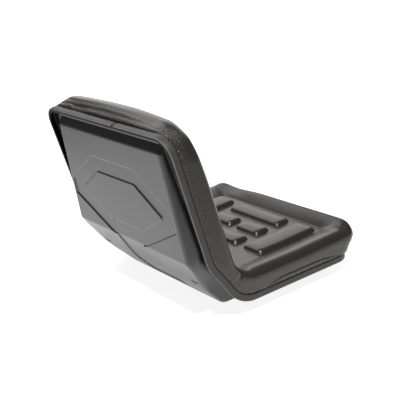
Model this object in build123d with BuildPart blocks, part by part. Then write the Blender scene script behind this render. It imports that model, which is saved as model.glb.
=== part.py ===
"""Padded trailer seat: pressed steel pan, one-piece cushion, push-on edging and weld nuts.

Millimetres, real size. The seat faces -Y, +Z is up, and X runs across it. The origin is the
middle of the mounting bolts on the underside of the pan floor.
"""
import os
from math import cos, degrees, radians, sin, tan

from build123d import *

# Rim lines in side view. Seat and back would meet behind the mounting bolts; a short diagonal
# joins them, with a bend at each end. Further in, the cushion has one single fold instead.
corner_y = 180.0
rim_height = 24.0
recline = radians(11.9)
upper_bend = 100.0
lower_bend = 43.6
bend_radius = 70.0
fold_inset = 20.0
fold_radius = 107.0

# Edging: outer face at the rim, a web under the turned edge, a tall outer and a short inner leg.
trim_half_width = 232.0
trim_back_length = 367.0
trim_seat_length = 341.0
trim_corner_radius = 40.0
trim_leg = 2.5
trim_web = 2.5
trim_outer_height = 13.5
trim_inner_height = 9.5
trim_gap = 0.4
trim_edge = 1.1
joint_x = -46.0
joint_gap = 1.6
joint_lean = 12.0

# Sheet steel pan. Its edge is turned out by gutter_depth and stands in the edging.
sheet = 1.2
hem = 2.0
fit = 0.3
gutter_depth = 12.0
hem_lift = 2.0

# Tray pressed out of the pan: panel, crowned chamfer and floor. Margins are from the edging.
panel_top_margin = 35.0
panel_side_margin = 42.0
panel_foot_y = 46.9
panel_foot_z = 106.9
panel_flare = 13.7
chamfer_crown = 8.0
chamfer_bend = 260.0
floor_rear = 54.0
floor_front_margin = 51.0
floor_side_margin = 73.0
wall_run = 14.0
wall_draft = 0.31
floor_wall_draft = 0.387
wall_blend = 60.0
heel_radius = 28.0
press_radius = 9.0

# Ring pressed into the panel: share of the panel's half width across, height from its foot.
ring_depth = 2.4
ring_draft = radians(35)
ring_outer = [(0.426, 168), (1, 95), (1, 62), (0.316, -2)]
ring_inner = [(0.358, 134), (0.768, 84), (0.768, 80), (0.226, 26)]

# Broad trough pressed in from the foot of the panel down the chamfer.
trough_half_width = 51.0
trough_top = 35.0
trough_spread = 16.0
trough_drop = 142.0

# Drain slots in the chamfer.
slot_margin = 27.0
slot_length = 24.0
slot_width = 6.0
slot_drop = 68.0

# Mounting: M8 weld nuts with a spigot in the sheet.
bolt_spacing_x = 210.0
bolt_spacing_y = 180.0
nut_bore = 4.0
nut_spigot = 5.25
nut_flats = 14.0
nut_height = 6.5
nut_room = 11.0
nut_headroom = 5.0

# Cushion: how far it stands past the edging, and heights from the rim.
side_overhang = 5.0
top_overhang = 10.0
front_overhang = 18.0
cushion_top_corner = 66.0
cushion_front_corner = 38.0
crest = 67.0
crest_radius = 26.0
hem_bevel = 3.0

# Well inside the bolster, and the raised pads in it with the lanes between them.
well = 46.0
side_bolster = 65.0
top_bolster = 49.0
front_bolster = 42.0
well_corner = 14.0
well_edge = 8.0
pad_top = 58.5
pad_bevel = 4.0
pad_root = 4.0
pad_corner = 9.0
pad_depth = 39.0
pad_pitch = 57.5
pad_split = 20.0
side_pad_width = 57.0
side_lane = 7.0
pad_lane = 25.0
front_lane = 33.0
top_lane = 39.0

# Length by which a cutting block stands past what it cuts.
over = 20.0

back_dir = Vector(0, sin(recline), cos(recline))
back_in = Vector(0, -cos(recline), sin(recline))
back_axis = Axis((0, corner_y, rim_height), back_dir)
corner_share = 1 / tan(radians(45) + recline / 2)
fold_run = fold_radius * corner_share
edge_half_width = trim_half_width - trim_leg - hem - trim_gap
hem_out = trim_leg + trim_gap
edge_out = hem_out + hem
inner_leg_out = edge_out + sheet + trim_gap
panel_top = trim_back_length - panel_top_margin
panel_half_width = trim_half_width - panel_side_margin
floor_front = trim_seat_length - floor_front_margin
floor_half_width = trim_half_width - floor_side_margin
slot_x = panel_half_width - slot_margin
cushion_half_width = trim_half_width + side_overhang
cushion_back_length = trim_back_length + top_overhang
cushion_seat_length = trim_seat_length + front_overhang
well_half_width = cushion_half_width - side_bolster
well_top = cushion_back_length - top_bolster
well_front = cushion_seat_length - front_bolster


def on_seat(distance, inset):
    """Point in side view at a distance forward of the rim corner, inset above the seat rim."""
    return (corner_y - distance, rim_height + inset)


def on_back(distance, inset):
    """Point in side view at a distance up the back rim, inset in front of it."""
    return (
        corner_y + distance * sin(recline) - inset * cos(recline),
        rim_height + distance * cos(recline) + inset * sin(recline),
    )


rim_corner = Vector(0, corner_y, rim_height)
lower_point = Vector(0, *on_seat(lower_bend, 0))
diagonal = (Vector(0, *on_back(upper_bend, 0)) - lower_point).normalized()
diagonal_in = Vector(1, 0, 0).cross(diagonal)
upper_share = tan(radians(diagonal.get_angle(back_dir)) / 2)
lower_share = tan(radians(diagonal.get_angle(Vector(0, 1, 0))) / 2)


def along_back(point):
    """Distance of a point up the back rim from the rim corner."""
    return (point - rim_corner).dot(back_dir)


def inside_rim(point):
    """Inset of a point from the nearest rim line, negative outside the rim."""
    return min(
        point.Z - rim_height,
        (point - rim_corner).dot(back_in),
        (point - lower_point).dot(diagonal_in),
    )


def side_path(back_length, seat_length, inset):
    """Line in side view at an inset, from the top of the back to the front of the seat."""
    head = on_back(back_length, inset)
    toe = on_seat(seat_length, inset)
    if inset > fold_inset:
        fold = on_seat(inset * corner_share, inset)
        return FilletPolyline(head, fold, toe, radius=fold_radius - inset)
    upper = on_back(upper_bend + inset * upper_share, inset)
    lower = on_seat(lower_bend + inset * lower_share, inset)
    return FilletPolyline(head, upper, lower, toe, radius=bend_radius - inset)


def outline_edges(block, path, half_width, back_length, seat_length):
    """Edges over a side path that run round an outline or inside it, without the seams of bends."""

    def wanted(edge):
        middle = edge @ 0.5
        across = abs(edge.tangent_at(0.5).X) > 0.999
        in_bend = max(along_back(middle), corner_y - middle.Y) < upper_bend + bend_radius / 2
        return (
            path.distance_to(Vector(0, middle.Y, middle.Z)) < 0.05
            and not (across and in_bend)
            and abs(middle.X) < half_width + 1
            and along_back(middle) < back_length + 1
            and middle.Y > corner_y - seat_length - 1
        )

    return block.edges().filter_by(wanted)


def rim_block(half_width, back_length, seat_length, low, high, top_corner, front_corner):
    """Block that follows the rim from inset low to inset high, with rounded corners."""
    with BuildPart() as block:
        with BuildSketch(Plane.YZ):
            with BuildLine():
                under = side_path(back_length, seat_length, low)
                face = side_path(back_length, seat_length, high)
                Line(under @ 0, face @ 0)
                Line(under @ 1, face @ 1)
            make_face()
        extrude(amount=half_width, both=True)
        front_edges = block.edges().group_by(Axis.Y)[0].filter_by(Axis.Z)
        top_edges = block.edges().group_by(back_axis)[-1].filter_by(Axis.X, reverse=True)
        fillet(front_edges, front_corner)
        fillet(top_edges, top_corner)
    return block.part


def rim_layer(margin, low, high):
    """Block like the edging, smaller by a margin all round."""
    return rim_block(
        trim_half_width - margin,
        trim_back_length - margin,
        trim_seat_length - margin,
        low,
        high,
        trim_corner_radius - margin,
        trim_corner_radius - margin,
    )


panel_head = on_back(panel_top, 0)
panel_foot = (corner_y + panel_foot_y, rim_height + panel_foot_z)
floor_heel = (corner_y - floor_rear, 0)
floor_toe = (corner_y - floor_front, 0)
panel_dir = (Vector(0, *panel_head) - Vector(0, *panel_foot)).normalized()
panel_out = Vector(-1, 0, 0).cross(panel_dir)
chamfer_dir = (Vector(0, *floor_heel) - Vector(0, *panel_foot)).normalized()
chamfer_out = Vector(1, 0, 0).cross(chamfer_dir)
chamfer_mid = (Vector(0, *panel_foot) + Vector(0, *floor_heel)) / 2 + chamfer_out * chamfer_crown


def tray(shrink):
    """Solid that fills the tray, with every outer face moved in by shrink."""
    deep = gutter_depth + over
    head_run = wall_run * deep / gutter_depth
    toe_run = wall_run * (deep + rim_height) / (gutter_depth + rim_height)
    with BuildPart() as solid:
        with BuildSketch(Plane.YZ) as side:
            with BuildLine():
                Polyline(
                    panel_head,
                    panel_foot,
                    (chamfer_mid.Y, chamfer_mid.Z),
                    floor_heel,
                    floor_toe,
                    on_seat(floor_front + toe_run, deep),
                    on_seat(fold_run, deep),
                    on_back(fold_run, deep),
                    on_back(panel_top + head_run, deep),
                    close=True,
                )
            make_face()
            bends = side.vertices().sort_by_distance((chamfer_mid.Y, chamfer_mid.Z))
            fillet(bends[0], chamfer_bend)
            outer = side.vertices().group_by(Axis.Y)[0]
            fillet(outer.sort_by(Axis.X)[-1], heel_radius)
            fillet(outer.sort_by(Axis.X)[0], press_radius)
            foot = side.vertices().sort_by_distance(panel_foot)[0]
            fillet(foot, press_radius)
            head = side.vertices().sort_by_distance(panel_head)[0]
            fillet(head, press_radius)
            offset(amount=-shrink, kind=Kind.INTERSECTION)
        extrude(amount=trim_half_width, both=True)
        for hand in (-1, 1):
            back_wall = Plane(
                Vector(hand * panel_half_width, *panel_head),
                x_dir=panel_dir * -1 + Vector(hand * panel_flare / (panel_top - panel_foot_z), 0, 0),
                z_dir=Vector(hand, 0, 0)
                + panel_dir * (panel_flare / (panel_top - panel_foot_z))
                + panel_out * wall_draft,
            )
            split(bisect_by=back_wall.offset(-shrink), keep=Keep.BOTTOM)
            floor_wall = Plane(
                Vector(hand * floor_half_width, *floor_toe),
                x_dir=(0, 1, 0),
                z_dir=(hand, 0, -floor_wall_draft),
            )
            split(bisect_by=floor_wall.offset(-shrink), keep=Keep.BOTTOM)
        for hand in (-1, 1):
            walls = solid.faces().filter_by(lambda f: f.normal_at().X * hand > 0.8)
            walls = walls.sort_by(Axis.Z)
            fillet(walls[0].edges() & walls[-1].edges(), wall_blend)
        for hand in (-1, 1):
            walls = solid.faces().filter_by(lambda f: f.normal_at().X * hand > 0.8)
            skin = solid.faces().filter_by(lambda f: abs(f.normal_at().X) < 0.3)
            skin = skin.filter_by(lambda f: inside_rim(f.center()) < deep - 2 - shrink)
            fillet(walls.edges() & skin.edges(), press_radius - shrink)
    return solid.part


def ring_outline(corners):
    """Closed outline, the same on both sides, from its corners on one side."""
    right = [(share * panel_half_width, height) for share, height in corners]
    left = [(-x, height) for x, height in reversed(right)]
    return Polyline(*right, *left, close=True)


panel_plane = Plane(Vector(0, *panel_foot), x_dir=(-1, 0, 0), z_dir=panel_out)
chamfer_plane = Plane(Vector(0, *panel_foot), x_dir=(-1, 0, 0), z_dir=chamfer_out)
bolt_places = GridLocations(bolt_spacing_x, bolt_spacing_y, 2, 2)


def pressed_area(grow, depth):
    """Punch over the ring and the trough, wider by grow, from a depth inside the pan outwards."""
    foot_lap = 2 * depth
    thick = depth + over / 2
    slope = degrees(ring_draft)
    reach = grow / cos(ring_draft) - depth * tan(ring_draft)
    with BuildPart() as punch:
        with BuildSketch(panel_plane.offset(-depth)):
            with BuildLine():
                ring_outline(ring_outer)
            make_face()
            offset(amount=reach, kind=Kind.INTERSECTION)
        extrude(amount=thick, taper=-slope)
        with BuildSketch(panel_plane.offset(-depth)):
            with BuildLine():
                ring_outline(ring_inner)
            make_face()
            offset(amount=-reach, kind=Kind.INTERSECTION)
        extrude(amount=thick, taper=slope, mode=Mode.SUBTRACT)
        with BuildSketch(panel_plane.offset(-depth)):
            with Locations((0, (trough_top - foot_lap) / 2)):
                Rectangle(2 * (trough_half_width + reach), trough_top + foot_lap + 2 * reach)
        extrude(amount=thick, taper=-slope)
        with BuildSketch(chamfer_plane.offset(-depth)):
            with BuildLine():
                Polyline(
                    (trough_half_width, foot_lap),
                    (-trough_half_width, foot_lap),
                    (-trough_half_width, 0),
                    (-trough_half_width - trough_spread, -trough_drop),
                    (trough_half_width + trough_spread, -trough_drop),
                    (trough_half_width, 0),
                    close=True,
                )
            make_face()
            offset(amount=reach, kind=Kind.INTERSECTION)
        extrude(amount=thick, taper=-slope)
    return punch.part


def pressed_tray(shrink):
    """Tray with the ring and the trough pressed in, every outer face moved in by shrink."""
    with BuildPart() as punch:
        add(pressed_area(shrink, shrink + 2 * ring_depth))
        add(tray(shrink + ring_depth), mode=Mode.SUBTRACT)
    with BuildPart() as solid:
        add(tray(shrink))
        add(punch.part, mode=Mode.SUBTRACT)
    return solid.part


with BuildPart() as seat_pan:
    add(rim_layer(edge_out, trim_web + fit, gutter_depth + sheet))
    add(rim_layer(edge_out + sheet, -over, gutter_depth), mode=Mode.SUBTRACT)
    add(pressed_tray(0))
    add(pressed_tray(sheet), mode=Mode.SUBTRACT)
    add(rim_layer(-over, gutter_depth + sheet, gutter_depth + 2 * over), mode=Mode.SUBTRACT)
    with BuildSketch(chamfer_plane):
        with Locations((-slot_x, -slot_drop), (slot_x, -slot_drop)):
            SlotOverall(slot_length, slot_width)
    extrude(amount=over, both=True, mode=Mode.SUBTRACT)
    with BuildSketch(Plane.XY):
        with bolt_places:
            Circle(nut_spigot + trim_gap / 4)
    extrude(amount=over, mode=Mode.SUBTRACT)

with BuildPart() as channel:
    add(rim_layer(trim_leg, trim_web, trim_outer_height + over))
    add(rim_layer(inner_leg_out, 0, trim_outer_height + 2 * over), mode=Mode.SUBTRACT)

with BuildPart() as edge_trim:
    add(rim_layer(0, 0, trim_outer_height))
    add(rim_layer(inner_leg_out + trim_leg, -over, trim_outer_height + over), mode=Mode.SUBTRACT)
    add(channel.part, mode=Mode.SUBTRACT)
    add(rim_layer(trim_leg, trim_inner_height, trim_outer_height + over), mode=Mode.SUBTRACT)
    with BuildLine(Plane.YZ) as rim_line:
        side_path(trim_back_length, trim_seat_length, 0)
    outline = (trim_half_width, trim_back_length, trim_seat_length)
    chamfer(outline_edges(edge_trim, rim_line.wire(), *outline), trim_edge)
    with Locations(Location((joint_x, *on_back(trim_back_length, 0)), (0, joint_lean, 0))):
        Box(joint_gap, 2 * over, 2 * over, mode=Mode.SUBTRACT)

with BuildPart() as hem_strip:
    add(rim_layer(hem_out, trim_web + hem_lift, trim_outer_height + hem_lift))
    add(rim_layer(edge_out - fit, 0, gutter_depth + sheet + fit), mode=Mode.SUBTRACT)

seat_face = Plane((0, corner_y, rim_height + well), x_dir=(1, 0, 0), z_dir=(0, 0, 1))
back_face = Plane(Vector(0, *on_back(0, well)), x_dir=(1, 0, 0), z_dir=back_in)
seat_pads = [(row, front_lane - well_front + row * pad_pitch) for row in range(3)]
back_pads = [(row, well_top - top_lane - row * pad_pitch) for row in range(3)]
side_pad_outer = well_half_width - side_lane
side_pad_inner = side_pad_outer - side_pad_width
pad_row_half_width = side_pad_inner - pad_lane
split_width = pad_row_half_width - pad_split / 2
side_pad_depth = 2 * pad_pitch + pad_depth


def pads(face, rows):
    """Raised pads on one face of the cushion: rows across the middle and one down each side."""
    with BuildPart() as group:
        with BuildSketch(face.offset(-pad_root)):
            for row, middle in rows:
                if row == 1:
                    with Locations((0, middle)), GridLocations(split_width + pad_split, 0, 2, 1):
                        RectangleRounded(split_width, pad_depth, pad_corner)
                    with Locations((0, middle)), GridLocations(side_pad_inner + side_pad_outer, 0, 2, 1):
                        RectangleRounded(side_pad_width, side_pad_depth, pad_corner)
                else:
                    with Locations((0, middle)):
                        RectangleRounded(2 * pad_row_half_width, pad_depth, pad_corner)
        extrude(amount=pad_top - well + pad_root)
        chamfer(group.faces().group_by(Axis((0, 0, 0), face.z_dir))[-1].edges(), pad_bevel)
    return group.part


with BuildPart() as cushion:
    add(
        rim_block(
            cushion_half_width,
            cushion_back_length,
            cushion_seat_length,
            trim_outer_height + trim_gap,
            crest,
            cushion_top_corner,
            cushion_front_corner,
        )
    )
    with BuildLine(Plane.YZ) as crest_line:
        side_path(cushion_back_length, cushion_seat_length, crest)
    with BuildLine(Plane.YZ) as hem_line:
        side_path(cushion_back_length, cushion_seat_length, trim_outer_height + trim_gap)
    outline = (cushion_half_width, cushion_back_length, cushion_seat_length)
    fillet(outline_edges(cushion, crest_line.wire(), *outline), crest_radius)
    chamfer(outline_edges(cushion, hem_line.wire(), *outline), hem_bevel)
    add(
        rim_block(well_half_width, well_top, well_front, well, crest + over, well_corner, well_corner),
        mode=Mode.SUBTRACT,
    )
    well_edges = outline_edges(cushion, crest_line.wire(), well_half_width, well_top, well_front)
    fillet(well_edges, well_edge)
    add(pads(seat_face, seat_pads))
    add(pads(back_face, back_pads))
    add(rim_layer(hem_out, gutter_depth + sheet + fit, trim_outer_height + hem_lift))
    add(hem_strip.part)
    add(pressed_tray(sheet + fit))
    with BuildSketch(Plane.XY):
        with bolt_places:
            Circle(nut_room)
    extrude(amount=nut_height + nut_headroom, mode=Mode.SUBTRACT)

with BuildPart() as weld_nuts:
    with BuildSketch(Plane.XY.offset(sheet)):
        with bolt_places:
            RegularPolygon(nut_flats / 2, 6, major_radius=False)
    extrude(amount=nut_height - sheet)
    with BuildSketch(Plane.XY):
        with bolt_places:
            Circle(nut_spigot)
    extrude(amount=sheet)
    with BuildSketch(Plane.XY):
        with bolt_places:
            Circle(nut_bore)
    extrude(amount=nut_height, mode=Mode.SUBTRACT)

os.makedirs("parts", exist_ok=True)
for name, piece in (
    ("seat_pan", seat_pan.part),
    ("cushion", cushion.part),
    ("edge_trim", edge_trim.part),
    ("weld_nuts", weld_nuts.part),
):
    piece.label = name
    export_step(piece, f"parts/{name}.step")
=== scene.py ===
# %% [markdown]
# # A padded trailer seat
# The seat has four pieces: a pressed steel pan, a moulded foam cushion in vinyl, a push-on edging
# round the pan's turned edge, and four weld nuts under the cushion. The pan and the nuts keep their
# CAD shapes here and get a finish. The cushion and the edging are modelled again, because a soft
# skin and an extruded lip have forms that a plain solid leaves out.
#
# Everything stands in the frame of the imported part: metres, +Z up, seat front towards -Y.

from math import cos, hypot, pi, radians, sin

import bpy
import numpy as np
from mathutils import Matrix, Vector


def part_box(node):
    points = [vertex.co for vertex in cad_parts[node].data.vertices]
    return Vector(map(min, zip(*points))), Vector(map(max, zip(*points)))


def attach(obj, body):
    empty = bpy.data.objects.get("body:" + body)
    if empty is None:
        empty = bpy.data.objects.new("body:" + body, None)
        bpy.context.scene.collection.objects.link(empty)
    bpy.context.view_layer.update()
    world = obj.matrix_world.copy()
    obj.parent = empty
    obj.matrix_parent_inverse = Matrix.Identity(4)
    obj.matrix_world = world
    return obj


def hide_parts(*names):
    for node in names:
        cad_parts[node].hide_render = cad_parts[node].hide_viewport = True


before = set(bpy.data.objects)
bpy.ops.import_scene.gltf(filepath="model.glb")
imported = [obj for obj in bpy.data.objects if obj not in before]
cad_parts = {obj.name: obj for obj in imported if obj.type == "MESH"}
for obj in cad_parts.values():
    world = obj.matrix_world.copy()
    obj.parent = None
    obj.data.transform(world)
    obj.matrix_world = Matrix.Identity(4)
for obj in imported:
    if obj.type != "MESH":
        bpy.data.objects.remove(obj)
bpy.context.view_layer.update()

# %% [markdown]
# ## Paths with round corners
# Much of this seat is a line with round corners: the rim in side view, the section of the bolster,
# the section of the edging. One helper turns a list of corners and radii into closely spaced
# points. Two more give the soft step and the bell curve that shape foam without a hard line.

# %% Path helpers
MM = 0.001
NEARLY_STRAIGHT = radians(89.5)
LEAST_GAP = 0.05 * MM


def corner_arc(before, here, after, step):
    """Points of the arc that replaces a corner, or the corner itself where it isn't round."""
    corner = np.array(here[:2])
    inward = np.array(before[:2]) - corner
    outward = np.array(after[:2]) - corner
    inward /= np.linalg.norm(inward)
    outward /= np.linalg.norm(outward)
    half = np.arccos(np.clip(inward @ outward, -1, 1)) / 2
    radius = here[2]
    if radius == 0 or half > NEARLY_STRAIGHT:
        return [corner]
    middle = inward + outward
    centre = corner + middle / np.linalg.norm(middle) * radius / np.sin(half)
    start = corner + inward * radius / np.tan(half) - centre
    end = corner + outward * radius / np.tan(half) - centre
    sweep = np.arctan2(start[0] * end[1] - start[1] * end[0], start @ end)
    count = max(3, int(abs(sweep) * radius / step) + 1)
    turns = np.linspace(0, sweep, count)
    spins = [np.array([[np.cos(t), -np.sin(t)], [np.sin(t), np.cos(t)]]) for t in turns]
    return [centre + spin @ start for spin in spins]


def rounded_path(corners, step):
    """Points along a path through corners (a, b, radius), with each corner replaced by an arc."""
    path = [np.array(corners[0][:2])]
    for before, here, after in zip(corners, corners[1:], corners[2:]):
        path += corner_arc(before, here, after, step)
    path.append(np.array(corners[-1][:2]))
    dense = [path[0]]
    for point in path[1:]:
        start = dense[-1]
        gap = np.linalg.norm(point - start)
        if gap < LEAST_GAP:
            continue
        count = max(1, round(gap / step))
        dense.extend(start + (point - start) * k / count for k in range(1, count + 1))
    return np.array(dense)


def smooth_step(low, high, value):
    """0 at low, 1 at high and an S curve between; low may be the larger one."""
    share = np.clip((np.asarray(value) - low) / (high - low), 0, 1)
    return share * share * (3 - 2 * share)


def bump(centre, width, value):
    """Bell curve of height 1 at the centre."""
    return np.exp(-(((np.asarray(value) - centre) / width) ** 2))


quarter_turn = [(0.0, 0.0), (10 * MM, 0.0, 10 * MM), (10 * MM, 10 * MM)]
print("a quarter turn of 10 mm:", len(rounded_path(quarter_turn, 1.0 * MM)), "points")

# %% [markdown]
# ## The line of the rim
# In side view the seat follows one line: flat under the sitter, bent up twice, then a back that
# leans away. The steel rim has two bends with a short diagonal between them. The face of the foam
# has one single fold. So there are two lines, each kept as a table of points and normals.

# %% Rim lines
RECLINE = radians(11.9)
UPPER_BEND = 100 * MM
LOWER_BEND = 43.6 * MM
BEND_RADIUS = 70 * MM
FOLD_RADIUS = 107 * MM
ZONE_SEAT = 105 * MM
ZONE_BACK = 130 * MM
TRIM_SEAT_LENGTH = 341 * MM
TRIM_BACK_LENGTH = 367 * MM

trim_low, trim_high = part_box("edge_trim")
_, cushion_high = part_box("cushion")
rim_z = trim_low.z
corner_y = trim_low.y + TRIM_SEAT_LENGTH


def up_back(length):
    """Side view point at a length up the back from the corner where the rim lines meet."""
    return (corner_y + length * sin(RECLINE), rim_z + length * cos(RECLINE))


def line_table(bends):
    """Shares of the length, points, inward normals and length of a side line through the bends."""
    start = (corner_y - ZONE_SEAT, rim_z)
    line = rounded_path([start, *bends, up_back(ZONE_BACK)], 1.0 * MM)
    slope = np.gradient(line, axis=0)
    slope /= np.linalg.norm(slope, axis=1)[:, None]
    lengths = np.concatenate([[0], np.cumsum(np.linalg.norm(np.diff(line, axis=0), axis=1))])
    normals = np.stack([-slope[:, 1], slope[:, 0]], axis=1)
    return lengths / lengths[-1], line, normals, lengths[-1]


rim_bends = [(corner_y - LOWER_BEND, rim_z, BEND_RADIUS), (*up_back(UPPER_BEND), BEND_RADIUS)]
rim_table = line_table(rim_bends)
fold_table = line_table([(corner_y, rim_z, FOLD_RADIUS)])
zone_length = rim_table[3]
print("bends take", round(zone_length, 4), "m of the rim")

# %% [markdown]
# ## Places on the rim
# A place on any skin is a run along the line, a place across it and a height off it. Low down the
# skin follows the rim with its two bends, and higher up it changes over to the single fold. This
# turns the L-shaped seat into a flat sheet, on which outlines are easy to draw.

# %% Places on the rim
FOLD_HEIGHTS = (18 * MM, 44 * MM)


def line_point(table, share, height):
    """Side view points (y, z) at shares of a line and heights off it."""
    shares, line, normal, _ = table
    y = np.interp(share, shares, line[:, 0]) + height * np.interp(share, shares, normal[:, 0])
    z = np.interp(share, shares, line[:, 1]) + height * np.interp(share, shares, normal[:, 1])
    return y, z


def on_rim(run, across, height):
    """Points in the frame from a run along the rim (0 where its bends start), across and off it."""
    run, across, height = np.broadcast_arrays(run, across, height)
    share = np.clip(run / zone_length, 0, 1)
    low_y, low_z = line_point(rim_table, share, height)
    high_y, high_z = line_point(fold_table, share, height)
    change = smooth_step(*FOLD_HEIGHTS, height)
    after = np.maximum(run - zone_length, 0)
    y = low_y + (high_y - low_y) * change + np.minimum(run, 0) + after * sin(RECLINE)
    z = low_z + (high_z - low_z) * change + after * cos(RECLINE)
    return np.stack([across, y, z], axis=-1)


def seat_run(length):
    """Run at a length forward of the rim corner."""
    return ZONE_SEAT - length


def back_run(length):
    """Run at a length up the back from the rim corner."""
    return zone_length + length - ZONE_BACK


rim_ends = (seat_run(TRIM_SEAT_LENGTH), back_run(TRIM_BACK_LENGTH))
print("rim from", [[round(float(c), 3) for c in on_rim(run, 0, 0)] for run in rim_ends])

# %% [markdown]
# ## Outlines with round corners
# Seen flat, the cushion and the edging are rectangles with round corners. One helper gives the
# point at any length round such an outline, so that rings of vertices can be laid along it.


# %% Outline helper
class RoundedOutline:
    """Rectangle with round corners, walked from the middle of its low side towards +X."""

    def __init__(self, half_width, low, high, low_corner, high_corner):
        self.pieces = []
        side = half_width
        self.line((0, low), (side - low_corner, low))
        self.arc((side - low_corner, low + low_corner), low_corner, -pi / 2)
        self.line((side, low + low_corner), (side, high - high_corner))
        self.arc((side - high_corner, high - high_corner), high_corner, 0)
        self.line((side - high_corner, high), (high_corner - side, high))
        self.arc((high_corner - side, high - high_corner), high_corner, pi / 2)
        self.line((-side, high - high_corner), (-side, low + low_corner))
        self.arc((low_corner - side, low + low_corner), low_corner, pi)
        self.line((low_corner - side, low), (0, low))
        self.ends = np.cumsum([piece[0] for piece in self.pieces])
        self.length = self.ends[-1]
        self.corner_lengths = [(self.ends[k] + self.ends[k + 1]) / 2 for k in (0, 2, 4, 6)]

    def line(self, start, end):
        self.pieces.append((hypot(end[0] - start[0], end[1] - start[1]), "line", start, end))

    def arc(self, centre, radius, first):
        self.pieces.append((radius * pi / 2, "arc", centre, (radius, first)))

    def point(self, length):
        """Point (across, run) and outward direction at a length round the outline."""
        rest = length % self.length
        for size, kind, first, second in self.pieces:
            if rest <= size:
                break
            rest -= size
        if kind == "line":
            along = ((second[0] - first[0]) / size, (second[1] - first[1]) / size)
            return (first[0] + along[0] * rest, first[1] + along[1] * rest, along[1], -along[0])
        radius, start = second
        turn = start + rest / radius
        return (first[0] + radius * cos(turn), first[1] + radius * sin(turn), cos(turn), sin(turn))

    def points(self, lengths):
        """Rows of (across, run, outward across, outward run)."""
        return np.array([self.point(length) for length in lengths])


CUSHION_SEAT_LENGTH = 359 * MM
CUSHION_BACK_LENGTH = 377 * MM
FRONT_CORNER = 31 * MM
TOP_CORNER = 74 * MM
TRIM_CORNER = 40 * MM

front_run = seat_run(CUSHION_SEAT_LENGTH)
back_end_run = back_run(CUSHION_BACK_LENGTH)
cushion_outline = RoundedOutline(
    cushion_high.x, front_run, back_end_run, FRONT_CORNER, TOP_CORNER
)
trim_outline = RoundedOutline(trim_high.x, *rim_ends, TRIM_CORNER, TRIM_CORNER)
print("outlines", [round(outline.length, 3) for outline in (cushion_outline, trim_outline)], "m")

# %% [markdown]
# ## The cushion: a grid inside rings
# The cushion is one foam moulding in a vinyl skin: a fat bolster all round, a sunk well inside it
# and raised pads in the well. A cloth simulation would swell the foam, but it would also wash out
# the pads and the tight lanes between them, which were made in a mould. So the skin is laid by
# formula. A grid covers the floor of the well, with its lines gathered at the edges of the pads,
# and rings of the same vertices climb out of it, over the crest and down to the hem.

# %% Pads
SIDE_BOLSTER = 65 * MM
FRONT_BOLSTER = 38 * MM
TOP_BOLSTER = 49 * MM
PAD_DEPTH = 39 * MM
PAD_PITCH = 57.5 * MM
PAD_LANE = 25 * MM
PAD_SPLIT = 20 * MM
SIDE_LANE = 7 * MM
SIDE_PAD_WIDTH = 57 * MM
FRONT_LANE = 36 * MM
TOP_LANE = 39 * MM

well_half_width = cushion_high.x - SIDE_BOLSTER
well_low = front_run + FRONT_BOLSTER
well_high = back_end_run - TOP_BOLSTER
side_pad_outer = well_half_width - SIDE_LANE
side_pad_inner = side_pad_outer - SIDE_PAD_WIDTH
row_half_width = side_pad_inner - PAD_LANE
seat_rows = [well_low + FRONT_LANE + row * PAD_PITCH for row in range(3)]
back_rows = [well_high - TOP_LANE - row * PAD_PITCH for row in range(3)]

split_middle = (row_half_width + PAD_SPLIT / 2) / 2
split_half = (row_half_width - PAD_SPLIT / 2) / 2
side_middle = (side_pad_inner + side_pad_outer) / 2
side_depth = PAD_PITCH + PAD_DEPTH / 2

pads = []
for first, middle, last in (seat_rows, back_rows):
    pads.append((0, first, row_half_width, PAD_DEPTH / 2))
    for hand in (-1, 1):
        pads.append((hand * split_middle, middle, split_half, PAD_DEPTH / 2))
        pads.append((hand * side_middle, middle, SIDE_PAD_WIDTH / 2, side_depth))
    pads.append((0, last, row_half_width, PAD_DEPTH / 2))
print(len(pads), "pads in a well", round(2 * well_half_width, 3), "m wide")

# %% [markdown]
# ## Grid lines
# A round pad edge needs close vertices, and the flat middle of a pad doesn't. So the grid's step
# grows with the distance to the nearest edge, which saves most of the vertices.

# %% Grid lines
FLOOR_MARGIN = 6 * MM
GRID_COARSE = 4.5 * MM
GRID_FINE = 1.1 * MM
GRID_REACH = 9 * MM
GRID_REST = 0.2 * MM


def grid_lines(low, high, edges):
    """Places of grid lines from low to high, closer together near the given edges."""
    lines = [low]
    while lines[-1] < high - GRID_REST:
        near = min(abs(lines[-1] - edge) for edge in edges)
        step = GRID_FINE + (GRID_COARSE - GRID_FINE) * min(1, (near / GRID_REACH) ** 2)
        lines.append(min(lines[-1] + step, high))
    return np.array(lines)


floor_half_width = well_half_width - FLOOR_MARGIN
floor_low = well_low + FLOOR_MARGIN
floor_high = well_high - FLOOR_MARGIN
across_edges = [centre + hand * half for centre, _, half, _ in pads for hand in (-1, 1)]
run_edges = [middle + hand * depth for _, middle, _, depth in pads for hand in (-1, 1)]
half_edges = [edge for edge in across_edges if edge >= 0] + [floor_half_width]
half_lines = grid_lines(0, floor_half_width, half_edges)
across_lines = np.concatenate([-half_lines[:0:-1], half_lines])
run_lines = grid_lines(floor_low, floor_high, run_edges + [floor_low, floor_high])
print("grid of", len(across_lines), "by", len(run_lines))

# %% [markdown]
# ## The bolster's section
# Cut across, the bolster rises on a soft ramp from the well, rolls over a broad crest and drops
# down a side that bulges a little. The places are lengths outwards from the well's edge and up from
# the rim. Below the side, the skin turns in under the foam at the top of the edging.

# %% Bolster section
WELL = 50 * MM
SKIRT = 14.3 * MM
CREST = (43 * MM, 69.5 * MM)
SHOULDER = (65.4 * MM, 38 * MM)
RAMP_POWER = 1.35
ROLL_START = 0.06
SECTION_STEPS = 25

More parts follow.
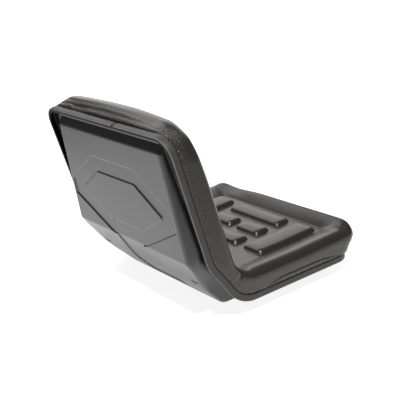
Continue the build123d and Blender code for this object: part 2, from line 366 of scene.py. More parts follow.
ramp = [
    (CREST[0] * (1 - t), CREST[1] - (CREST[1] - WELL) * t**RAMP_POWER, 0)
    for t in np.linspace(1, 0, SECTION_STEPS)
]
drop = (SHOULDER[0] - CREST[0], CREST[1] - SHOULDER[1])
roll = [
    (CREST[0] + drop[0] * sin(t), SHOULDER[1] + drop[1] * cos(t), 0)
    for t in np.linspace(ROLL_START, pi / 2, SECTION_STEPS)
]
foot = [
    (65.0 * MM, 17.5 * MM, 2.4 * MM),
    (62.4 * MM, SKIRT, 1.6 * MM),
    (40.0 * MM, SKIRT, 0),
]
section = rounded_path([(-FLOOR_MARGIN, WELL, 0)] + ramp + roll + foot, 1.6 * MM)
section_share = (section[1:, 0] - section[0, 0]) / (SIDE_BOLSTER - section[0, 0])
section_height = section[1:, 1]
print("bolster section of", len(section), "points")

# %% [markdown]
# ## Foam that isn't flat
# The moulding isn't level: it rises to a roll at the front, which is a little uneven, and the back
# thins towards its top. These are slow changes, so one height rule serves every vertex.

# %% Lift and thinning
FRONT_LIFT = 4 * MM
FRONT_LIFT_ZONE = (190 * MM, 350 * MM)
BACK_THIN = 5 * MM
BACK_THIN_ZONE = (230 * MM, 370 * MM)
NEAR_RISE = 2 * MM
FAR_DIP = 5 * MM


def forward_of(run):
    """Length forward of the rim corner at a run on the seat."""
    return ZONE_SEAT - run


def height_up(run):
    """Length up the back from the rim corner at a run on the back."""
    return run - zone_length + ZONE_BACK


def settle(run, height):
    """Heights off the rim after the front roll and the thinning of the back."""
    lift = FRONT_LIFT * smooth_step(*FRONT_LIFT_ZONE, forward_of(run))
    thin = BACK_THIN * smooth_step(*BACK_THIN_ZONE, height_up(run))
    share = np.clip((height - SKIRT) / (WELL - SKIRT), 0, 1)
    return height + (lift - thin) * share


def uneven_front(across):
    """Small rise and dip along the crest of the front roll."""
    rise = NEAR_RISE * smooth_step(60 * MM, -230 * MM, across)
    return rise - FAR_DIP * bump(150 * MM, 55 * MM, across)


front_well, top_well = (float(settle(run, WELL)) / MM for run in (well_low, well_high))
print("well at the front", round(front_well, 1), "mm, at the top", round(top_well, 1), "mm")

# %% [markdown]
# ## Creases and tucks
# Vinyl pulled over foam shows where it was worked. A crease runs low along each side, with a small
# roll below it. The skin puckers where seat and back meet. Along the top edge it is tucked in under
# a fold, with two pleats across the tuck. Each is a depth by which the skin is drawn in.

# %% Creases and tucks
CREASE_HEIGHT = 27.5 * MM
CREASE_DEPTH = 1.5 * MM
PUCKER_DEPTH = 2.2 * MM
TUCK_LINE = 25 * MM
TUCK_DEPTH = 2.4 * MM
PLEATS = (139 * MM, 72 * MM)
PLEAT_WIDTH = 3.2 * MM
PLEAT_REACH = 8 * MM


def crease_line(forward):
    """Height of the side crease off the rim, lower at the front and towards the fold."""
    front = 9 * MM * smooth_step(235 * MM, 320 * MM, forward)
    fold = 12 * MM * smooth_step(150 * MM, 90 * MM, forward)
    return CREASE_HEIGHT - front - fold


def side_dent(run, height):
    """How far the skin is drawn in at the crease, its roll below and the pucker at the fold."""
    forward = forward_of(run)
    line = crease_line(forward)
    ends = smooth_step(25 * MM, 60 * MM, forward) * smooth_step(335 * MM, 270 * MM, forward)
    crease = bump(line, 1.3 * MM, height) - 0.5 * bump(line - 5.5 * MM, 4.0 * MM, height)
    slant = run + 0.25 * (height - 45 * MM)
    pucker = bump(0.47 * zone_length, 7 * MM, slant) * bump(44 * MM, 16 * MM, height)
    return CREASE_DEPTH * ends * crease + PUCKER_DEPTH * pucker


def top_tuck(run, across, height):
    """How far the skin is tucked in under the fold along the top, less at the pleats."""
    line = TUCK_LINE + 0.5 * MM * np.sin(across * 31 + 0.8) + 0.3 * MM * np.sin(across * 87)
    under = smooth_step(line + 1.0 * MM, line - 1.4 * MM, height)
    lip = 0.2 * bump(line + 3.0 * MM, 2.2 * MM, height)
    far, near = PLEATS
    deep = smooth_step(near - PLEAT_REACH, near, across)
    deep = deep * smooth_step(far + PLEAT_REACH, far, across)
    pleats = sum(bump(place, PLEAT_WIDTH, across) for place in PLEATS)
    tuck = under * (0.25 + 0.75 * deep) * (1 - 0.85 * pleats) - lip
    ends = smooth_step(-175 * MM, -60 * MM, across) * smooth_step(212 * MM, 190 * MM, across)
    return TUCK_DEPTH * smooth_step(355 * MM, 372 * MM, height_up(run)) * ends * tuck


deepest = float(top_tuck(back_end_run, sum(PLEATS) / 2, SKIRT)) / MM
print("tuck between the pleats", round(deepest, 2), "mm deep")

# %% [markdown]
# ## Raised pads
# Each pad is a soft block that stands out of the well. The height over the well depends only on the
# distance to the pad's outline: a round edge, then a slow crown.

# %% Pad heights
PAD_RISE = 7.8 * MM
PAD_CROWN = 1.6 * MM
PAD_CROWN_REACH = 22 * MM
PAD_ROUND = 6.6 * MM
PAD_CORNER = 11 * MM


def pad_distance(across, run, pad):
    """Distance inside a pad's rounded outline, negative outside it."""
    centre, middle, half, depth = pad
    a = np.abs(across - centre) - half + PAD_CORNER
    b = np.abs(run - middle) - depth + PAD_CORNER
    outside = np.hypot(np.maximum(a, 0), np.maximum(b, 0))
    return PAD_CORNER - outside - np.minimum(np.maximum(a, b), 0)


def pad_height(across, run):
    """Height of the pads over the well."""
    height = np.zeros_like(across)
    for pad in pads:
        inside = pad_distance(across, run, pad)
        edge = np.clip(inside / PAD_ROUND, 0, 1)
        rise = PAD_RISE * np.sqrt(1 - (1 - edge) ** 2)
        crown = PAD_CROWN * smooth_step(0, PAD_CROWN_REACH, inside)
        height = np.maximum(height, np.where(inside > 0, rise + crown, 0))
    return height


print("pads stand", round((PAD_RISE + PAD_CROWN) / MM, 1), "mm out of the well")

# %% [markdown]
# ## The floor of the well
# The floor is a plain grid at first. Its corners are then drawn in to an arc, because a mould has
# round corners, and the vertices of its border are listed in order: the rings start from them.

# %% Floor grid
WELL_CORNER = 14 * MM
columns = len(across_lines)
lanes = len(run_lines)


def round_floor_corners(across, run):
    """Moves grid points in each corner of the floor so that its border follows an arc."""
    middle_run = (floor_low + floor_high) / 2
    half_run = (floor_high - floor_low) / 2
    radius = WELL_CORNER - FLOOR_MARGIN
    a = (np.abs(across) - floor_half_width) / radius + 1
    b = (np.abs(run - middle_run) - half_run) / radius + 1
    corner = (a > 0) & (b > 0)
    a_round = np.where(corner, a * np.sqrt(np.maximum(1 - b * b / 2, 0)), a)
    b_round = np.where(corner, b * np.sqrt(np.maximum(1 - a * a / 2, 0)), b)
    new_across = np.sign(across) * (floor_half_width + (a_round - 1) * radius)
    new_run = middle_run + np.sign(run - middle_run) * (half_run + (b_round - 1) * radius)
    return np.where(corner, new_across, across), np.where(corner, new_run, run)


grid_across, grid_run = round_floor_corners(*np.meshgrid(across_lines, run_lines))
border = (
    [(0, k) for k in range(columns)]
    + [(k, columns - 1) for k in range(1, lanes)]
    + [(lanes - 1, k) for k in range(columns - 2, -1, -1)]
    + [(k, 0) for k in range(lanes - 2, 0, -1)]
)
border_rows, border_columns = np.array(border).T
border_across = grid_across[border_rows, border_columns]
border_run = grid_run[border_rows, border_columns]
floor_height = settle(grid_run, WELL + pad_height(grid_across, grid_run))
floor_points = on_rim(grid_run, grid_across, floor_height).reshape(-1, 3)
print(len(border), "vertices round the floor")

# %% [markdown]
# ## Partners on the outlines
# Each vertex of the border gets a partner on the cushion's outline and one on the edging's, at the
# same share of the side. The rings will lie between border and cushion outline, and low on the side
# they draw in to the edging. The top edge of the cushion is arched, and hangs a little on one side.

# %% Partners on the outlines
TOP_ARCH = 7 * MM
ARCH_FALL = 1.4
NEAR_DROP = 6 * MM

low_share = (across_lines - across_lines[0]) / (across_lines[-1] - across_lines[0])
side_share = (run_lines - run_lines[0]) / (run_lines[-1] - run_lines[0])


def partner_lengths(outline):
    """Length round an outline for each vertex of the floor's border."""
    first, second, third, fourth = outline.corner_lengths
    return np.concatenate(
        [
            fourth - outline.length + low_share * (first - fourth + outline.length),
            first + side_share[1:] * (second - first),
            second + low_share[1:] * (third - second),
            third + side_share[1:-1] * (fourth - third),
        ]
    )


cushion_lengths = partner_lengths(cushion_outline)
wide = cushion_outline.points(cushion_lengths)
narrow = trim_outline.points(partner_lengths(trim_outline))
top_band = smooth_step(340 * MM, 372 * MM, height_up(wide[:, 1]))
arch = TOP_ARCH * (1 - ARCH_FALL * (wide[:, 0] / cushion_high.x) ** 2)
near_drop = NEAR_DROP * smooth_step(-40 * MM, -200 * MM, wide[:, 0])
wide[:, 1] += (arch - near_drop) * top_band
print("arch of", round(float(arch.max()) / MM, 1), "mm along the top")

# %% [markdown]
# ## Rings of the bolster
# One ring of vertices is laid for each point of the section. The side bolsters are lower than the
# front and top ones, so a ring's height depends on the way that its vertex faces. A second value is
# kept for each vertex: how much of the gathered hem it has, most of it at the two top corners.

# %% Rings of the bolster
SIDE_DIP = 0.46
DRAW_IN = 0.65
DRAW_HEIGHT = 48 * MM
DENT_SHARES = (0.85, 0.98)
HEM_SHARES = (0.8, 0.95)
HEM_LOW = 20 * MM
HEM_HIGH = 34 * MM
HEM_CORNER_RISE = 16 * MM
GATHER_WIDTH = 38 * MM
GATHER_GAIN = 3

sideways = np.abs(wide[:, 2])
frontward = np.clip(-wide[:, 3], 0, 1)
top_corners = cushion_outline.corner_lengths[1:3]
gathered = sum(bump(place, GATHER_WIDTH, cushion_lengths) for place in top_corners)
hem_height = HEM_HIGH + HEM_CORNER_RISE * gathered


def ring_height(height, across, run):
    """Height of a ring off the rim, with lower side bolsters and an uneven front roll."""
    on_seat = smooth_step(-40 * MM, 60 * MM, forward_of(run))
    low_side = 1 - SIDE_DIP * (sideways + (sideways**4 - sideways) * on_seat)
    uneven = uneven_front(across) * frontward * smooth_step(WELL, CREST[1], height)
    return np.where(height > WELL, WELL + (height - WELL) * low_side, height) + uneven


ring_points = []
ring_hem = []
for share, height in zip(section_share, section_height):
    draw = DRAW_IN * smooth_step(DRAW_HEIGHT, SKIRT, height)
    outer = wide[:, :2] + (narrow[:, :2] - wide[:, :2]) * draw
    across = border_across + (outer[:, 0] - border_across) * share
    run = border_run + (outer[:, 1] - border_run) * share
    rise = settle(run, ring_height(height, across, run))
    dent = side_dent(run, rise) + top_tuck(run, across, rise)
    dent = dent * smooth_step(*DENT_SHARES, share)
    ring_points.append(on_rim(run - wide[:, 3] * dent, across - wide[:, 2] * dent, rise))
    hem_share = smooth_step(hem_height, HEM_LOW, rise) * smooth_step(*HEM_SHARES, share)
    ring_hem.append(hem_share * (1 + GATHER_GAIN * gathered))
print(len(ring_points), "rings round the floor")

# %% [markdown]
# ## The cushion's mesh
# The faces join the grid and the rings, all in quads. The underside, which the pan hides, is closed
# by strips from side to side, so that the mesh is one closed skin. The cushion stands for the CAD
# cushion, which is hidden.


# %% Cushion mesh
def mesh_object(name, points, faces):
    """New smooth-shaded object from points and faces."""
    mesh = bpy.data.meshes.new(name)
    mesh.from_pydata([tuple(p) for p in points], [], faces)
    mesh.validate()
    mesh.polygons.foreach_set("use_smooth", [True] * len(mesh.polygons))
    piece = bpy.data.objects.new(name, mesh)
    bpy.context.scene.collection.objects.link(piece)
    return piece


def keep_values(piece, label, values):
    """Keeps one number for each vertex under a label, for the materials to read."""
    layer = piece.data.attributes.new(label, "FLOAT", "POINT")
    layer.data.foreach_set("value", np.asarray(values, dtype=np.float32).ravel())


points = np.concatenate([floor_points] + ring_points)
loop = len(border)
grid_size = lanes * columns
index = [[int(row) * columns + int(column) for row, column in border]]
for k in range(len(ring_points)):
    index.append(list(range(grid_size + k * loop, grid_size + (k + 1) * loop)))

faces = []
for row in range(lanes - 1):
    for column in range(columns - 1):
        base = row * columns + column
        faces.append((base, base + 1, base + columns + 1, base + columns))
for inner, outer in zip(index, index[1:]):
    for k in range(loop):
        after = (k + 1) % loop
        faces.append((inner[k], outer[k], outer[after], inner[after]))

hem = index[-1]
right_side = [hem[columns - 1 + k] for k in range(lanes)]
left_side = [hem[0]] + [hem[loop - k] for k in range(1, lanes)]
top_start = columns + lanes - 2
for k in range(lanes - 1):
    faces.append((left_side[k], left_side[k + 1], right_side[k + 1], right_side[k]))
faces.append(tuple(hem[:columns][::-1]))
faces.append(tuple(hem[top_start : top_start + columns][::-1]))

cushion = mesh_object("vinyl_cushion", points, faces)
hem_values = np.concatenate([np.zeros(grid_size)] + ring_hem)
keep_values(cushion, "hem_band", hem_values)
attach(cushion, "root")
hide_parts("cushion")
print("cushion:", len(points), "vertices,", len(faces), "faces")

# %% [markdown]
# ## The edging
# A U-shaped plastic strip is pushed over the turned edge of the pan. It is an extrusion, so its
# section is the same everywhere, and it can be swept round the rim: a slightly round outer leg, a
# web under the edge and a short inner leg with a lip line. The strip's ends meet at the top, a
# little out of line. Masks for a painted highlight on the lip, and for painted shade inside the
# strip and at the joint, are kept on the vertices.

# %% Edging sweep
JOINT_X = -46 * MM
JOINT_GAP = 1.2 * MM
JOINT_STEP = 0.8 * MM
JOINT_STEP_LENGTH = 40 * MM
JOINT_STATIONS = [0, 1, 2, -2, -1]
STATION_STEP = 2.2 * MM
TRIM_SECTION_MM = [
    (-2.6, 12.6, 0),
    (-2.4, 13.7, 0.5),
    (-0.3, 13.6, 1.2),
    (0.35, 7.0, 20.0),
    (0.0, -0.1, 2.0),
    (-9.0, -0.1, 1.6),
    (-9.3, 6.4, 4.0),
    (-8.7, 6.9, 0.4),
    (-9.3, 7.4, 0.4),
    (-9.1, 9.6, 1.0),
    (-6.6, 9.5, 0.6),
    (-6.6, 2.6, 0.6),
    (-2.6, 2.6, 0.6),
    (-2.6, 12.0, 0),
]
trim_corners = [tuple(value * MM for value in corner) for corner in TRIM_SECTION_MM]
trim_section = rounded_path(trim_corners, 0.9 * MM)

joint_length = (trim_outline.ends[3] + trim_outline.ends[4]) / 2 - JOINT_X
first_end = joint_length + JOINT_GAP / 2
last_end = joint_length + trim_outline.length - JOINT_GAP / 2
stations = np.append(np.arange(first_end, last_end, STATION_STEP), last_end)
places = trim_outline.points(stations)
left_over = joint_length + trim_outline.length - stations
step_off = JOINT_STEP * smooth_step(JOINT_STEP_LENGTH, 0, left_over)

trim_lines = []
for offset, height in trim_section:
    run = places[:, 1] + places[:, 3] * (offset - step_off)
    across = places[:, 0] + places[:, 2] * (offset - step_off)
    trim_lines.append(on_rim(run, across, height + step_off))
trim_points = np.concatenate(trim_lines)

count = len(stations)
sides = len(trim_section)
trim_faces = []
for k in range(sides):
    here, after = k * count, ((k + 1) % sides) * count
    trim_faces += [(here + s, after + s, after + s + 1, here + s + 1) for s in range(count - 1)]
trim_faces.append(tuple(k * count for k in range(sides))[::-1])
trim_faces.append(tuple(k * count + count - 1 for k in range(sides)))

edging = mesh_object("edging_strip", trim_points, trim_faces)
offsets, heights = trim_section.T
lip_painted_highlight = (offsets > -2.4 * MM) & (offsets < -0.3 * MM) & (heights < 0.8 * MM)
inner_side_painted_shade = (offsets < -2.2 * MM) & (heights < 12.3 * MM)
# Masks for the painted highlight on the lip and the painted shade inside and at the joint.
for label, mask, at_joint in (("lip_painted_highlight", lip_painted_highlight, 0), ("inner_side_painted_shade", inner_side_painted_shade, 1)):
    along = np.repeat(mask[:, None].astype(float), count, axis=1)
    along[:, JOINT_STATIONS] = at_joint
    keep_values(edging, label, along)
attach(edging, "root")
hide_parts("edge_trim")
print("edging:", len(trim_points), "vertices on", count, "stations")

# %% [markdown]
# ## Grain for every finish
# Vinyl, plastic and paint all carry a fine texture. It is one node group, with its own scale in
# each material. It puts out a height for bump and a slow shade that breaks up colour and gloss.


# %% Grain group
def new_group(name, inputs, outputs):
    """Empty shader node group with float inputs (name, default) and outputs."""
    group = bpy.data.node_groups.new(name, "ShaderNodeTree")
    for label, default in inputs:
        socket = group.interface.new_socket(label, in_out="INPUT", socket_type="NodeSocketFloat")
        socket.default_value = default
    for label in outputs:
        group.interface.new_socket(label, in_out="OUTPUT", socket_type="NodeSocketFloat")
    return group, group.nodes.new("NodeGroupInput"), group.nodes.new("NodeGroupOutput")


def math_node(tree, operation, first, second):
    """Output of a Math node whose inputs are sockets or numbers."""
    node = tree.nodes.new("ShaderNodeMath")
    node.operation = operation
    for slot, value in zip(node.inputs, (first, second)):
        if isinstance(value, (int, float)):
            slot.default_value = value
        else:
            tree.links.new(value, slot)
    return node.outputs[0]


def build_grain():
    """Group of fine cells and noise for the height, and slow clouds for the shade."""
    group, given, result = new_group(
        "fine_grain", [("Cell Scale", 900.0), ("Cloud Scale", 14.0)], ["Height", "Shade"]
    )
    place = group.nodes.new("ShaderNodeTexCoord").outputs["Object"]
    cells = group.nodes.new("ShaderNodeTexVoronoi")
    cells.feature = "SMOOTH_F1"
    cells.inputs["Smoothness"].default_value = 0.5
    fine = group.nodes.new("ShaderNodeTexNoise")
    fine.inputs["Detail"].default_value = 3.0
    cloud = group.nodes.new("ShaderNodeTexNoise")
    cloud.inputs["Detail"].default_value = 4.0
    for node, scale in ((cells, "Cell Scale"), (fine, "Cell Scale"), (cloud, "Cloud Scale")):
        group.links.new(place, node.inputs["Vector"])
        group.links.new(given.outputs[scale], node.inputs["Scale"])
    height = math_node(group, "ADD", cells.outputs["Distance"], fine.outputs["Fac"])
    group.links.new(height, result.inputs["Height"])
    group.links.new(cloud.outputs["Fac"], result.inputs["Shade"])
    return group


grain = build_grain()
print("grain group with", len(grain.nodes), "nodes")

# %% [markdown]
# ## Finishes
# The vinyl is a dark grey-brown with a satin gloss. The pan has satin black paint, the edging is
# soft dark plastic, and the nuts are bare steel. Each is a Principled shader with the grain behind
# it: colour and gloss drift between two values, so that no surface looks like a plain fill.


# %% Finish helper
GRAIN_DEPTH = 0.3 * MM


def finish_material(
    name, dark, light, rough, cell_scale, cloud_scale, relief, metallic=0.0, specular=0.5
):
    """Material whose colour and gloss drift between two values, with a fine bump."""
    material = bpy.data.materials.new(name)
    material.use_nodes = True
    tree = material.node_tree
    shader = tree.nodes["Principled BSDF"]
    shader.inputs["Metallic"].default_value = metallic
    shader.inputs["Specular IOR Level"].default_value = specular
    texture = tree.nodes.new("ShaderNodeGroup")
    texture.name = "grain"
    texture.node_tree = grain
    texture.inputs["Cell Scale"].default_value = cell_scale
    texture.inputs["Cloud Scale"].default_value = cloud_scale
    tint = tree.nodes.new("ShaderNodeMix")
    tint.data_type = "RGBA"
    tint.inputs["A"].default_value = (*dark, 1)
    tint.inputs["B"].default_value = (*light, 1)
    tree.links.new(texture.outputs["Shade"], tint.inputs["Factor"])
    tree.links.new(tint.outputs["Result"], shader.inputs["Base Color"])
    gloss = tree.nodes.new("ShaderNodeMapRange")
    gloss.inputs["To Min"].default_value = rough[0]
    gloss.inputs["To Max"].default_value = rough[1]
    tree.links.new(texture.outputs["Shade"], gloss.inputs["Value"])
    tree.links.new(gloss.outputs["Result"], shader.inputs["Roughness"])
    bumps = tree.nodes.new("ShaderNodeBump")
    bumps.name = "relief"
    bumps.inputs["Strength"].default_value = relief
    bumps.inputs["Distance"].default_value = GRAIN_DEPTH
    tree.links.new(texture.outputs["Height"], bumps.inputs["Height"])
    tree.links.new(bumps.outputs["Normal"], shader.inputs["Normal"])
    return material


print("grain up to", round(GRAIN_DEPTH / MM, 2), "mm deep")

# %% [markdown]
# ## Four materials
# The two modelled pieces get their material as new meshes do. The CAD nodes keep their meshes, and
# only their material slots are filled.

# %% Four materials
vinyl = finish_material(
    "vinyl_skin",
    dark=(0.028, 0.0245, 0.018),
    light=(0.04, 0.0355, 0.0265),
    rough=(0.38, 0.5),
    cell_scale=900,
    cloud_scale=14,
    relief=0.14,
)
paint = finish_material(
    "pan_paint",
    dark=(0.012, 0.012, 0.0115),
    light=(0.018, 0.018, 0.017),
    rough=(0.24, 0.34),
    cell_scale=600,
    cloud_scale=9,
    relief=0.06,
    specular=1.0,
)
plastic = finish_material(
    "edging_plastic",
    dark=(0.066, 0.062, 0.054),
    light=(0.09, 0.085, 0.075),
    rough=(0.4, 0.5),
    cell_scale=1100,
    cloud_scale=20,
    relief=0.3,
    specular=0.5,
)
steel = finish_material(
    "nut_steel",
    dark=(0.42, 0.42, 0.42),
    light=(0.56, 0.55, 0.53),
    rough=(0.3, 0.45),
    cell_scale=700,
    cloud_scale=30,
    relief=0.1,
    metallic=1.0,
)

cushion.data.materials.append(vinyl)
edging.data.materials.append(plastic)
for node, material in (("seat_pan", paint), ("weld_nuts", steel)):
    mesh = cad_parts[node].data
    mesh.materials.clear()
    mesh.materials.append(material)
print("finishes on", ["vinyl_cushion", "edging_strip", "seat_pan", "weld_nuts"])

# %% [markdown]
# ## Pressed edges
# Sheet steel has no sharp corners, so a Bevel node rounds the shading at the pressed edges. Its
# normal also finds them: where it points lower than the face does, the edge turns down, and
# there a light grey is painted into the colour as a painted highlight. It stands in for the floor's
# reflection on the rounded edge. That shows the ring in the panel as fine light lines.

# %% Pressed edges
EDGE_RADIUS = 2.2 * MM
EDGE_TURN = (0.1, 0.26)
UPRIGHT = 0.2
# Light grey of the painted highlight on edges that turn down.
PAINTED_EDGE_HIGHLIGHT = (0.55, 0.55, 0.54)


def shiny_coat(material, weight, rough):
    """Clear coat of one weight and roughness over a material."""
    shader = material.node_tree.nodes["Principled BSDF"]
    shader.inputs["Coat Weight"].default_value = weight
    shader.inputs["Coat Roughness"].default_value = rough


def colour_over(material, mask, colour):
    """Lays a colour over a material's base colour where a mask is 1."""
    tree = material.node_tree
    base = tree.nodes["Principled BSDF"].inputs["Base Color"]
    mix = tree.nodes.new("ShaderNodeMix")
    mix.data_type = "RGBA"
    mix.inputs["B"].default_value = (*colour, 1)
    tree.links.new(base.links[0].from_socket, mix.inputs["A"])
    tree.links.new(mask, mix.inputs["Factor"])
    tree.links.new(mix.outputs["Result"], base)


def upward(tree, normal):
    """Upward part of a normal."""
    node = tree.nodes.new("ShaderNodeSeparateXYZ")
    tree.links.new(normal, node.inputs["Vector"])
    return node.outputs["Z"]


shiny_coat(paint, 0.35, 0.3)
tree = paint.node_tree
bevel = tree.nodes.new("ShaderNodeBevel")
bevel.samples = 10
bevel.inputs["Radius"].default_value = EDGE_RADIUS
tree.links.new(bevel.outputs["Normal"], tree.nodes["relief"].inputs["Normal"])

face_up = upward(tree, tree.nodes.new("ShaderNodeNewGeometry").outputs["True Normal"])
turned = math_node(tree, "SUBTRACT", face_up, upward(tree, bevel.outputs["Normal"]))
upright = math_node(tree, "LESS_THAN", face_up, UPRIGHT)
edge_highlight_mask = tree.nodes.new("ShaderNodeMapRange")
edge_highlight_mask.inputs["From Min"].default_value = EDGE_TURN[0]
edge_highlight_mask.inputs["From Max"].default_value = EDGE_TURN[1]
tree.links.new(math_node(tree, "MULTIPLY", turned, upright), edge_highlight_mask.inputs["Value"])
# Painted highlight: the light grey is laid over the paint where the edge turns down.
colour_over(paint, edge_highlight_mask.outputs["Result"], PAINTED_EDGE_HIGHLIGHT)
print("pan paint with", len(tree.nodes), "nodes")

# %% [markdown]
# ## Painted highlight and painted shade on the edging
# The inside of the strip and its joint get painted shade. They are coloured black, and made a black
# metal that gives back no light, as if light hardly entered the slot. The lower corner of the outer
# leg gets a painted highlight, a light grey line. Both masks were kept on the vertices, and an
# Attribute node reads them.

# %% Painted highlight and painted shade on the edging
# Black of the painted shade in the slot and at the joint, light grey of the painted highlight on
# the lip.
SLOT_PAINTED_SHADE = (0.004, 0.004, 0.004)
LIP_PAINTED_HIGHLIGHT = (0.38, 0.37, 0.345)


def kept_values(material, label):
    """Output of an Attribute node that reads the numbers kept on the vertices."""
    node = material.node_tree.nodes.new("ShaderNodeAttribute")
    node.attribute_name = label
    return node.outputs["Fac"]


slot_shade_mask = kept_values(plastic, "inner_side_painted_shade")
# Painted shade in the slot and at the joint, then the painted highlight on the lip.
colour_over(plastic, slot_shade_mask, SLOT_PAINTED_SHADE)
colour_over(plastic, kept_values(plastic, "lip_painted_highlight"), LIP_PAINTED_HIGHLIGHT)
tree = plastic.node_tree
tree.links.new(slot_shade_mask, tree.nodes["Principled BSDF"].inputs["Metallic"])
print("edging with", len(tree.nodes), "nodes")

# %% [markdown]
# ## Puckered hem
# Where the vinyl is pulled over the rim, its hem is gathered into fine puckers, most of all at the
# top corners. They are a noise that shows only on the hem band. Its bump comes before the grain's,
# and the clear coat gets the same normal, because the glints on the puckers are in the coat.

# %% Puckered hem
PUCKER_SCALE = 230.0
PUCKER_BUMP = 1.8 * MM

shiny_coat(vinyl, 0.6, 0.17)
tree = vinyl.node_tree
gather = tree.nodes.new("ShaderNodeTexNoise")
gather.inputs["Scale"].default_value = PUCKER_SCALE
gather.inputs["Detail"].default_value = 2.0
tree.links.new(tree.nodes.new("ShaderNodeTexCoord").outputs["Object"], gather.inputs["Vector"])
folds = tree.nodes.new("ShaderNodeBump")
folds.inputs["Strength"].default_value = 1.0
folds.inputs["Distance"].default_value = PUCKER_BUMP
puckers = math_node(tree, "MULTIPLY", gather.outputs["Fac"], kept_values(vinyl, "hem_band"))
tree.links.new(puckers, folds.inputs["Height"])
relief = tree.nodes["relief"]
tree.links.new(folds.outputs["Normal"], relief.inputs["Normal"])
tree.links.new(relief.outputs["Normal"], tree.nodes["Principled BSDF"].inputs["Coat Normal"])
print("hem band on", int((hem_values > 0.5).sum()), "vertices")

# %% [markdown]
# ## White floor
# A white floor fills the picture, so its colour is the background. It keeps the seat's shadow, and
# adds white of its own for the camera, more of it further from the seat. Reflections see it too,
# but it fades towards the near side and far away: that keeps the near side of the seat dark.

# %% White floor
FLOOR_HALF = 40.0
FLOOR_Z = -0.0004
FLOOR_COLOUR = (0.8, 0.8, 0.8, 1)
NEAR_GLOW = 0.86
FAR_GLOW = 1.0
GLOW_RANGE = (0.4, 1.1)
SHINE_GLOW = 0.6
SHINE_SIDE = (-0.7, -0.2)
SHINE_RANGE = (0.7, 1.6)
FAR_SHINE = 0.3


def soft_range(tree, value, start, end, low, high):
    """Output that goes from low to high on an S curve while a value goes from start to end."""
    node = tree.nodes.new("ShaderNodeMapRange")
    node.interpolation_type = "SMOOTHSTEP"
    for label, number in zip(("From Min", "From Max", "To Min", "To Max"), (start, end, low, high)):
        node.inputs[label].default_value = number
    tree.links.new(value, node.inputs["Value"])
    return node.outputs["Result"]


def floor_material():
    """Matt white that also glows for the camera and, less, for reflections."""
    material = bpy.data.materials.new("studio_white")
    material.use_nodes = True
    tree = material.node_tree
    tree.nodes.remove(tree.nodes["Principled BSDF"])
    place = tree.nodes.new("ShaderNodeTexCoord").outputs["Object"]
    length = tree.nodes.new("ShaderNodeVectorMath")
    length.operation = "LENGTH"
    tree.links.new(place, length.inputs[0])
    distance = length.outputs["Value"]
    parts = tree.nodes.new("ShaderNodeSeparateXYZ")
    tree.links.new(place, parts.inputs["Vector"])

    rays = tree.nodes.new("ShaderNodeLightPath")
    seen = math_node(
        tree, "MAXIMUM", rays.outputs["Is Transmission Ray"], rays.outputs["Is Camera Ray"]
    )
    white = soft_range(tree, distance, *GLOW_RANGE, NEAR_GLOW, FAR_GLOW)
    near_side = soft_range(tree, parts.outputs["X"], *SHINE_SIDE, 0.0, SHINE_GLOW)
    far_away = soft_range(tree, distance, *SHINE_RANGE, 1.0, FAR_SHINE)
    shine = math_node(tree, "MULTIPLY", near_side, far_away)
    shine = math_node(tree, "MULTIPLY", rays.outputs["Is Glossy Ray"], shine)
    strength = math_node(tree, "ADD", math_node(tree, "MULTIPLY", seen, white), shine)

    glow = tree.nodes.new("ShaderNodeEmission")
    tree.links.new(strength, glow.inputs["Strength"])
    matt = tree.nodes.new("ShaderNodeBsdfDiffuse")
    matt.inputs["Color"].default_value = FLOOR_COLOUR
    both = tree.nodes.new("ShaderNodeAddShader")
    tree.links.new(matt.outputs["BSDF"], both.inputs[0])
    tree.links.new(glow.outputs["Emission"], both.inputs[1])
    tree.links.new(both.outputs["Shader"], tree.nodes["Material Output"].inputs["Surface"])
    return material


floor_corners = [(-1, -1), (1, -1), (1, 1), (-1, 1)]
floor_places = [(x * FLOOR_HALF, y * FLOOR_HALF, FLOOR_Z) for x, y in floor_corners]
floor = mesh_object("studio_floor", floor_places, [(0, 1, 2, 3)])
floor.data.materials.append(floor_material())
print("floor", 2 * FLOOR_HALF, "m wide")

# %% [markdown]
# ## Light
# The seat is lit as on a studio table: a weak softbox above, a large one on the far side, and a
# small strong lamp over the camera. The small lamp makes the glints on the corners of the pads, and
# a large one there would smear them. The room itself is dark, so the near side stays dark.

# %% Lamps and world
ROOM_LEVEL = 0.1


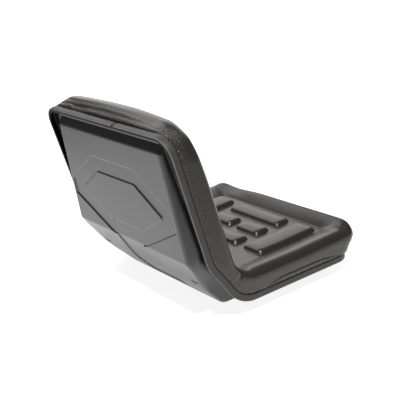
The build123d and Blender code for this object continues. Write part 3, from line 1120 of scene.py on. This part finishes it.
def soft_lamp(name, place, target, width, height, power):
    """Area lamp at a place, facing a target."""
    data = bpy.data.lights.new(name, "AREA")
    data.shape = "RECTANGLE"
    data.size = width
    data.size_y = height
    data.energy = power
    lamp = bpy.data.objects.new(name, data)
    lamp.location = place
    aim = Vector(target) - Vector(place)
    lamp.rotation_euler = aim.to_track_quat("-Z", "Y").to_euler()
    lamp.visible_camera = False
    bpy.context.scene.collection.objects.link(lamp)


soft_lamp("top_softbox", (1.2, 0.1, 1.6), (0, 0.1, 0.2), 1.0, 1.0, 4.5)
soft_lamp("far_softbox", (1.8, -1.2, 1.1), (0, 0, 0.15), 2.2, 1.5, 12)
soft_lamp("camera_lamp", (-1.0, 0.75, 2.1), (0, 0, 0.1), 0.12, 0.12, 34)

world = bpy.data.worlds.new("studio_room")
world.use_nodes = True
bpy.context.scene.world = world
room_colour = (ROOM_LEVEL, ROOM_LEVEL, ROOM_LEVEL, 1)
world.node_tree.nodes["Background"].inputs["Color"].default_value = room_colour
bpy.context.scene.view_settings.view_transform = "Standard"
print("lamps", [light.name for light in bpy.data.lights])

# %% [markdown]
# ## Camera
# The camera stands behind the seat, to its right and above it, as in the photograph. Its place,
# its three directions and its focal length in pixels come from points of the rim, the panel and
# the pads that were found in the picture, so that the render lies over the photograph.

# %% Camera
FRAME_PIXELS = 400
FOCAL_PIXELS = 899.8
SENSOR_WIDTH = 36.0
CAMERA_PLACE = (-1.4825, 1.0406, 0.7962)
CAMERA_RIGHT = (-0.5864, -0.8023, -0.1113)
CAMERA_UP = (0.2106, -0.2837, 0.9354)
CAMERA_BACK = (-0.7825, 0.5246, 0.3353)

camera_data = bpy.data.cameras.new("photo_camera")
camera_data.sensor_width = SENSOR_WIDTH
camera_data.lens = SENSOR_WIDTH * FOCAL_PIXELS / FRAME_PIXELS
camera = bpy.data.objects.new("photo_camera", camera_data)
bpy.context.scene.collection.objects.link(camera)
turn = Matrix((CAMERA_RIGHT, CAMERA_UP, CAMERA_BACK)).transposed().to_4x4()
camera.matrix_world = Matrix.Translation(CAMERA_PLACE) @ turn
bpy.context.scene.camera = camera
print("camera at", [round(c, 3) for c in camera.location])
